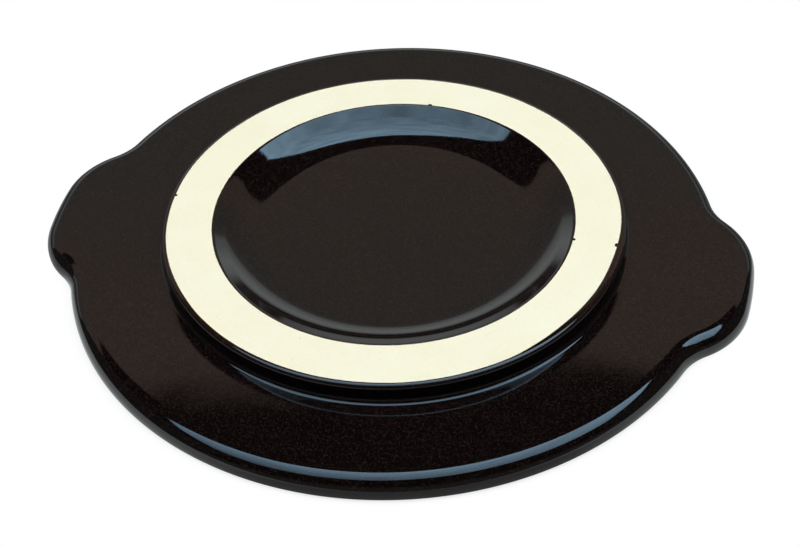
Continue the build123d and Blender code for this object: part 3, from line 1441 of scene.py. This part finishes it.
@dataclass(frozen=True)
class TableTop:
    """Pale table, which goes over to plain white away from the lid.

    The gloss of the glaze sees it white beside the lid, where it glows for glossy rays as a painted
    reflection of a brightly lit table, and greyer in front of and behind it, where every ray but the
    camera's sees painted shade.

    Attributes:
        half_width: Half of its width.
        tone: Its colour, as the camera sees it.
        near: Colour that light bounces off in front of the lid and to its left, and that the gloss sees
            there: painted shade, greyer than the camera sees.
        far: The same behind the lid and to its right, in darker painted shade.
        lit: Colour of the part that the gloss sees lit: a painted reflection, which glows for glossy
            rays only.
        roughness: Its roughness.
        white_from: Distance over which it goes over to plain white.
        beside: Distance to either side over which the lit part starts.
        behind: Distance behind the middle over which the lit part ends.
        left_behind: What is left of the lit part there.
        skew: How much earlier the lit part ends for each metre to the right.
        far_behind: Distance behind the middle over which the far colour comes up.
        far_right: Distance to the right over which it does.
    """

    half_width: float = 12.0
    tone: Colour = (0.93, 0.93, 0.93)
    near: Colour = (0.45, 0.45, 0.46)
    far: Colour = (0.08, 0.10, 0.10)
    lit: Colour = (0.92, 0.98, 1.0)
    roughness: float = 0.7
    white_from: Span = (0.10, 0.15)
    beside: Span = (0.05, 0.11)
    behind: Span = (-0.021, -0.007)
    left_behind: float = 0.06
    skew: float = 0.05
    far_behind: Span = (0.02, 0.10)
    far_right: Span = (0.08, 0.12)

    def build(self) -> None:
        """Adds the table."""
        wiring = Surface.material("pale_table")
        away = wiring.out("ShaderNodeVectorMath", {0: wiring.place()}, operation="LENGTH")
        path = wiring.node("ShaderNodeLightPath").outputs
        parts = wiring.split(wiring.room_place())
        lit = wiring.ramp(wiring.math("ABSOLUTE", parts["X"]), *self.beside)
        behind = wiring.line(parts["X"], self.skew, parts["Y"])
        ended = wiring.ramp(behind, *self.behind, 1.0, self.left_behind)
        lit = wiring.times(lit, ended, path["Is Glossy Ray"])
        far = (wiring.ramp(parts["Y"], *self.far_behind), wiring.ramp(parts["X"], *self.far_right))
        # Painted shade: every ray but the camera's sees the table greyer, and darker behind the lid and
        # to its right.
        dim = wiring.mix(wiring.math("MAXIMUM", *far), self.near, self.far)
        tone = wiring.mix(path["Is Camera Ray"], dim, self.tone)
        pale = wiring.out("ShaderNodeBsdfPrincipled", {"Base Color": tone, "Roughness": self.roughness})
        # Painted reflection: beside the lid the table glows for glossy rays, though it is no lamp.
        white = wiring.out("ShaderNodeEmission", {"Color": (*self.lit, 1.0), "Strength": 1.0})
        plain = wiring.out("ShaderNodeEmission", {"Strength": 1.0})
        shader = wiring.out("ShaderNodeMixShader", {0: lit, 1: pale, 2: white})
        seen = wiring.times(wiring.ramp(away, *self.white_from), path["Is Camera Ray"])
        table = wiring.shaded(wiring.out("ShaderNodeMixShader", {0: seen, 1: shader, 2: plain}))
        corners = [(x * self.half_width, y * self.half_width, 0) for x, y in SQUARE]
        set_piece("table", corners, table, Rays.ALL)


@dataclass(frozen=True)
class Glow:
    """Light that a wall of the studio gives off, by height.

    Heights and places along the wall are tangents of the angle seen from the middle of the lid.

    Attributes:
        steps: Each height, and the colour there.
        top: Height of the upper edge of the lit part.
        soft: How softly the lit part ends.
        middle: Half width of the part over which that edge is level.
        climb: How fast that edge rises beyond there, to the left and to the right.
        corner_fade: Share of the light lost low down towards both ends of the wall.
        corner: Place along the wall over which that share grows.
        low: Height over which it ends.
    """

    steps: tuple[tuple[float, Colour], ...]
    top: float
    soft: float = 0.02
    middle: float = 0.25
    climb: Span = (0.0, 0.0)
    corner_fade: float = 0.0
    corner: Span = (0.45, 0.75)
    low: Span = (0.30, 0.42)

    def material(self, name: str, distance: float) -> bpy.types.Material:
        """Builds the material of a wall.

        Args:
            name: Name of the material.
            distance: From the middle of the lid to the wall.

        Returns:
            The new material.
        """
        wiring = Surface.material(name)
        parts = wiring.split(wiring.room_place())
        rise, aside = (wiring.math("DIVIDE", parts[axis], distance) for axis in ("Z", "X"))
        reach = self.steps[-1][0]
        bands = wiring.node("ShaderNodeValToRGB", {0: wiring.math("DIVIDE", rise, reach)})
        elements = bands.color_ramp.elements
        while len(elements) < len(self.steps):
            elements.new(1.0)
        for element, (height, colour) in zip(elements, self.steps):
            element.position = height / reach
            element.color = (*colour, 1.0)
        lowered = rise
        for way, climb in zip((-1, 1), self.climb):
            beyond = wiring.math("MAXIMUM", wiring.line(aside, way, -self.middle), 0.0)
            lowered = wiring.line(beyond, -climb, lowered)
        edge = wiring.ramp(lowered, self.top - self.soft, self.top + self.soft, 1.0, 0.0)
        corner = wiring.ramp(wiring.math("ABSOLUTE", aside), *self.corner)
        lost = wiring.times(corner, wiring.ramp(rise, *self.low, 1.0, 0.0))
        strength = wiring.times(edge, wiring.line(lost, -self.corner_fade, 1.0))
        feeds = {"Color": bands.outputs[0], "Strength": strength}
        return wiring.shaded(wiring.out("ShaderNodeEmission", feeds))


@dataclass(frozen=True)
class Room:
    """Walls that are lit up to a height and black above it, and a black ceiling.

    Attributes:
        half_width: From the lid to the side walls.
        depth: From the lid to the walls behind and in front of it.
        ceiling: Height of the room.
        back: Light of the wall behind the lid.
        sides: Light of the side walls.
        front: Light of the wall in front.
    """

    half_width: float = 2.2
    depth: float = 1.2
    ceiling: float = 3.0
    back: Glow = Glow(
        (
            (0.0, (0.08, 0.08, 0.08)),
            (0.08, (0.08, 0.08, 0.08)),
            (0.16, (0.74, 0.78, 0.77)),
            (0.24, (0.95, 1.04, 1.02)),
            (0.34, (0.85, 0.92, 0.90)),
            (0.42, (0.66, 0.70, 0.69)),
            (0.47, (0.29, 0.29, 0.28)),
            (0.62, (0.26, 0.25, 0.23)),
            (0.80, (0.29, 0.28, 0.24)),
            (1.00, (0.41, 0.32, 0.27)),
            (1.20, (0.41, 0.32, 0.27)),
        ),
        top=1.105,
        climb=(0.26, 0.36),
        corner_fade=0.7,
    )
    sides: Glow = Glow(((0.0, (0.05, 0.05, 0.05)), (1.0, (0.04, 0.04, 0.04))), top=0.95)
    front: Glow = Glow(((0.0, (0.16, 0.15, 0.14)), (1.0, (0.05, 0.05, 0.05))), top=0.5, soft=0.2)

    def build(self) -> None:
        """Adds the walls and the ceiling."""
        plan = [(x * self.half_width, y * self.depth) for x, y in SQUARE]
        walls = (
            ("front_wall", self.front, self.depth),
            ("right_wall", self.sides, self.half_width),
            ("back_wall", self.back, self.depth),
            ("left_wall", self.sides, self.half_width),
        )
        for (name, glow, distance), start, end in zip(walls, plan, plan[1:] + plan[:1]):
            corners = [(*start, 0), (*end, 0), (*end, self.ceiling), (*start, self.ceiling)]
            set_piece(name, corners, glow.material(name, distance), Rays.REFLECTED)
        wiring = Surface.material("black_ceiling")
        black = wiring.shaded(wiring.out("ShaderNodeBsdfDiffuse", {"Color": (0, 0, 0, 1)}))
        set_piece("ceiling", [(*corner, self.ceiling) for corner in plan], black, Rays.REFLECTED)


@dataclass(frozen=True)
class Softbox:
    """Round softbox overhead: a lamp without a reflection, and the cloth that the glaze mirrors.

    Attributes:
        height: Height over the ring.
        corners: Its corners, to the right of the lid and behind it, as shares of its height.
        level: Light on the table, where 1 shows a white thing as white.
        grid: Number of places along each side at which the lamp's light is added up.
        radiance: Brightness of the middle of the cloth.
        slant: How much brighter the cloth gets over its half width and its half depth.
        least: Brightness of its darkest part.
        cool: Colour of the cloth.
        fold_stretch: Folds for each metre of the cloth, across and along.
        fold_scale: Scale of the fold pattern.
        fold_light: How much of the brightness the folds give, and how much is even.
    """

    height: float = 1.3
    corners: tuple[Span, ...] = (
        (-0.90, -0.30), (-0.70, -0.46), (0.70, -0.46), (0.98, -0.34),
        (0.90, 0.05), (0.74, 0.27), (0.68, 0.32), (0.42, 0.355),
        (0.22, 0.42), (0.08, 0.45), (-0.06, 0.43), (-0.22, 0.35),
        (-0.45, 0.31), (-0.64, 0.27), (-0.72, 0.22), (-0.86, 0.05),
    )
    level: float = 1.05
    grid: int = 60
    radiance: float = 2.9
    slant: Span = (0.9, 1.3)
    least: float = 0.6
    cool: Colour = (0.63, 1.0, 1.32)
    fold_stretch: Span = (3.2, 8.0)
    fold_scale: float = 1.6
    fold_light: Span = (1.2, 0.4)

    def build(self, ring_height: float) -> None:
        """Adds the lamp and the cloth.

        Args:
            ring_height: Height of the ring's face over the table.
        """
        plan = np.array(self.corners) * self.height
        low, high = plan.min(axis=0), plan.max(axis=0)
        middle, half = ((low + high) / 2).tolist(), ((high - low) / 2).tolist()
        top = ring_height + self.height
        self._lamp(middle, half, top)
        corners = [(*corner, top) for corner in reversed(plan.tolist())]
        set_piece("softbox_panel", corners, self._cloth(middle, half), Rays.REFLECTED)

    def _lamp(self, middle: list[float], half: list[float], top: float) -> None:
        """Adds the light of the softbox.

        Args:
            middle: Middle of the softbox seen from above.
            half: Half of its width and depth.
            top: Its height.
        """
        light = bpy.data.lights.new("softbox", "AREA")
        light.shape = "RECTANGLE"
        light.size, light.size_y = 2 * half[0], 2 * half[1]
        area = light.size * light.size_y
        x, y = np.meshgrid(*(np.linspace(m - h, m + h, self.grid) for m, h in zip(middle, half)))
        seen = (self.height**2 / (x**2 + y**2 + self.height**2) ** 2).mean() * area
        light.energy = self.level * math.pi / seen * math.pi * area
        lamp = add_object("softbox", light)
        lamp.matrix_world = Matrix.Rotation(ROOM_TURN, 4, "Z") @ Matrix.Translation((*middle, top))
        lamp.visible_camera = lamp.visible_glossy = False

    def _cloth(self, middle: list[float], half: list[float]) -> bpy.types.Material:
        """Builds the material of the cloth.

        Args:
            middle: Middle of the softbox seen from above.
            half: Half of its width and depth.

        Returns:
            The new material.
        """
        wiring = Surface.material("softbox_cloth")
        place = wiring.room_place()
        parts = wiring.split(place)
        strength = self.radiance
        for part, m, h, slant in zip((parts["X"], parts["Y"]), middle, half, self.slant):
            share = wiring.math("DIVIDE", wiring.math("SUBTRACT", part, m), h)
            strength = wiring.line(share, slant, strength)
        strength = wiring.math("MAXIMUM", strength, self.least)
        feeds = {0: place, 1: (*self.fold_stretch, 1.0)}
        stretched = wiring.out("ShaderNodeVectorMath", feeds, operation="MULTIPLY")
        feeds = {"Vector": stretched, "Scale": self.fold_scale, "Detail": 4.0}
        folds = wiring.line(wiring.out("ShaderNodeTexNoise", feeds), *self.fold_light)
        feeds = {"Color": (*self.cool, 1.0), "Strength": wiring.times(strength, folds)}
        return wiring.shaded(wiring.out("ShaderNodeEmission", feeds))


@dataclass(frozen=True)
class Studio:
    """Pale table in a dark-topped room with a softbox overhead."""

    table: TableTop = TableTop()
    room: Room = Room()
    softbox: Softbox = Softbox()

    def set_up(self, ring_height: float) -> None:
        """Builds the table, room, softbox and world, and sets the view.

        Args:
            ring_height: Height of the ring's face over the table.
        """
        self.table.build()
        self.room.build()
        self.softbox.build(ring_height)
        self._world()
        bpy.context.scene.view_settings.view_transform = "Standard"

    @staticmethod
    def _world() -> None:
        """Makes the world white where the room lets a ray through."""
        wiring = Surface(bpy.data.worlds.new("white_surround"), "ShaderNodeOutputWorld")
        path = wiring.node("ShaderNodeLightPath").outputs
        seen = wiring.math("ADD", path["Is Camera Ray"], path["Is Glossy Ray"])
        seen = wiring.math("ADD", seen, path["Is Transmission Ray"], clamp=True)
        bpy.context.scene.world = wiring.shaded(wiring.out("ShaderNodeBackground", {"Strength": seen}))


# --- Putting it together --------------------------------------------------------------------


class CrockLid:
    """The whole lid: clay, two coats of glaze, and the small marks on its ring."""

    def __init__(self, shape: LidShape) -> None:
        """Keeps the shape and builds the finishes.

        Args:
            shape: Shape of the lid.
        """
        self.shape = shape
        effects, clay = SharedEffects(), ClayFinish()
        self.glaze = GlazeFinish().material(effects)
        self.clay = clay.material(effects)
        self.iron = clay.iron_material(effects)

    def dress(
        self, piece: bpy.types.Object, material: bpy.types.Material, slot: Slot, *nodes: str
    ) -> None:
        """Gives a piece its finish and its body, and hides the CAD nodes that it stands for.

        Args:
            piece: The piece.
            material: Its finish.
            slot: Material slot of the record that the finish belongs to; it is only logged.
            *nodes: CAD nodes that the piece replaces.
        """
        if not piece.data.materials:
            piece.data.materials.append(material)
        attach(piece, BODY)
        if nodes:
            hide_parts(*nodes)
        LOG.info("%s: %d faces, slot %s", piece.name, len(piece.data.polygons), slot.value)

    def build(self) -> None:
        """Builds and dresses every piece."""
        outer = OuterGlaze(self.shape, Ripple(0.009 * MM)).build()
        self.dress(outer, self.glaze, Slot.GLAZE, "top_glaze", "underside_glaze")
        recess = RecessGlaze(self.shape).build(self.glaze)
        self.dress(recess, self.glaze, Slot.GLAZE, "recess_glaze")
        face_ripple = Ripple(0.012 * MM, longest=40 * MM, shortest=9 * MM, seed=8)
        self.dress(ClaySlab(self.shape, face_ripple).build(), self.clay, Slot.CLAY, "clay_body")
        self.dress(self._drips().build(self.glaze), self.glaze, Slot.GLAZE)
        self.dress(self._specks().build(self.iron), self.iron, Slot.CLAY)

    def _drips(self) -> Blobs:
        """Drips of glaze on the edges of the bare face.

        Returns:
            The drips.
        """
        s = self.shape
        inner, outer = s.ring_inner_radius, s.ring_outer_radius
        return Blobs(
            name="glaze_drips",
            places=(
                (89.2, inner + 0.35 * MM),
                (-2.9, inner + 0.3 * MM),
                (-2.7, outer - 1.5 * MM),
                (-177.7, outer - 0.4 * MM),
            ),
            band=(inner, outer),
            height=s.face_height,
            sizes=(0.7 * MM, 0.9 * MM),
            flatness=0.095,
            seed=4,
        )

    def _specks(self) -> Blobs:
        """Raised iron specks in the bare face.

        Returns:
            The specks.
        """
        s = self.shape
        inner, outer = s.ring_inner_radius, s.ring_outer_radius
        return Blobs(
            name="iron_specks",
            places=((-174.8, inner + 3.0 * MM), (-110.0, inner + 2.4 * MM), (-81.5, inner + 3.5 * MM)),
            band=(inner + 1.5 * MM, outer - 1.5 * MM),
            height=s.face_height,
            sizes=(0.06 * MM, 0.16 * MM),
            flatness=0.25,
            seed=9,
            count=26,
        )


def main() -> None:
    """Builds the lid and the studio."""
    logging.basicConfig(level=logging.INFO, format="%(name)s: %(message)s")
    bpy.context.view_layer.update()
    shape = LidShape.from_frame()
    LidCamera().place(Vector((0, 0, shape.height)))
    CrockLid(shape).build()
    Studio().set_up(shape.height)


if __name__ == "__main__":
    main()
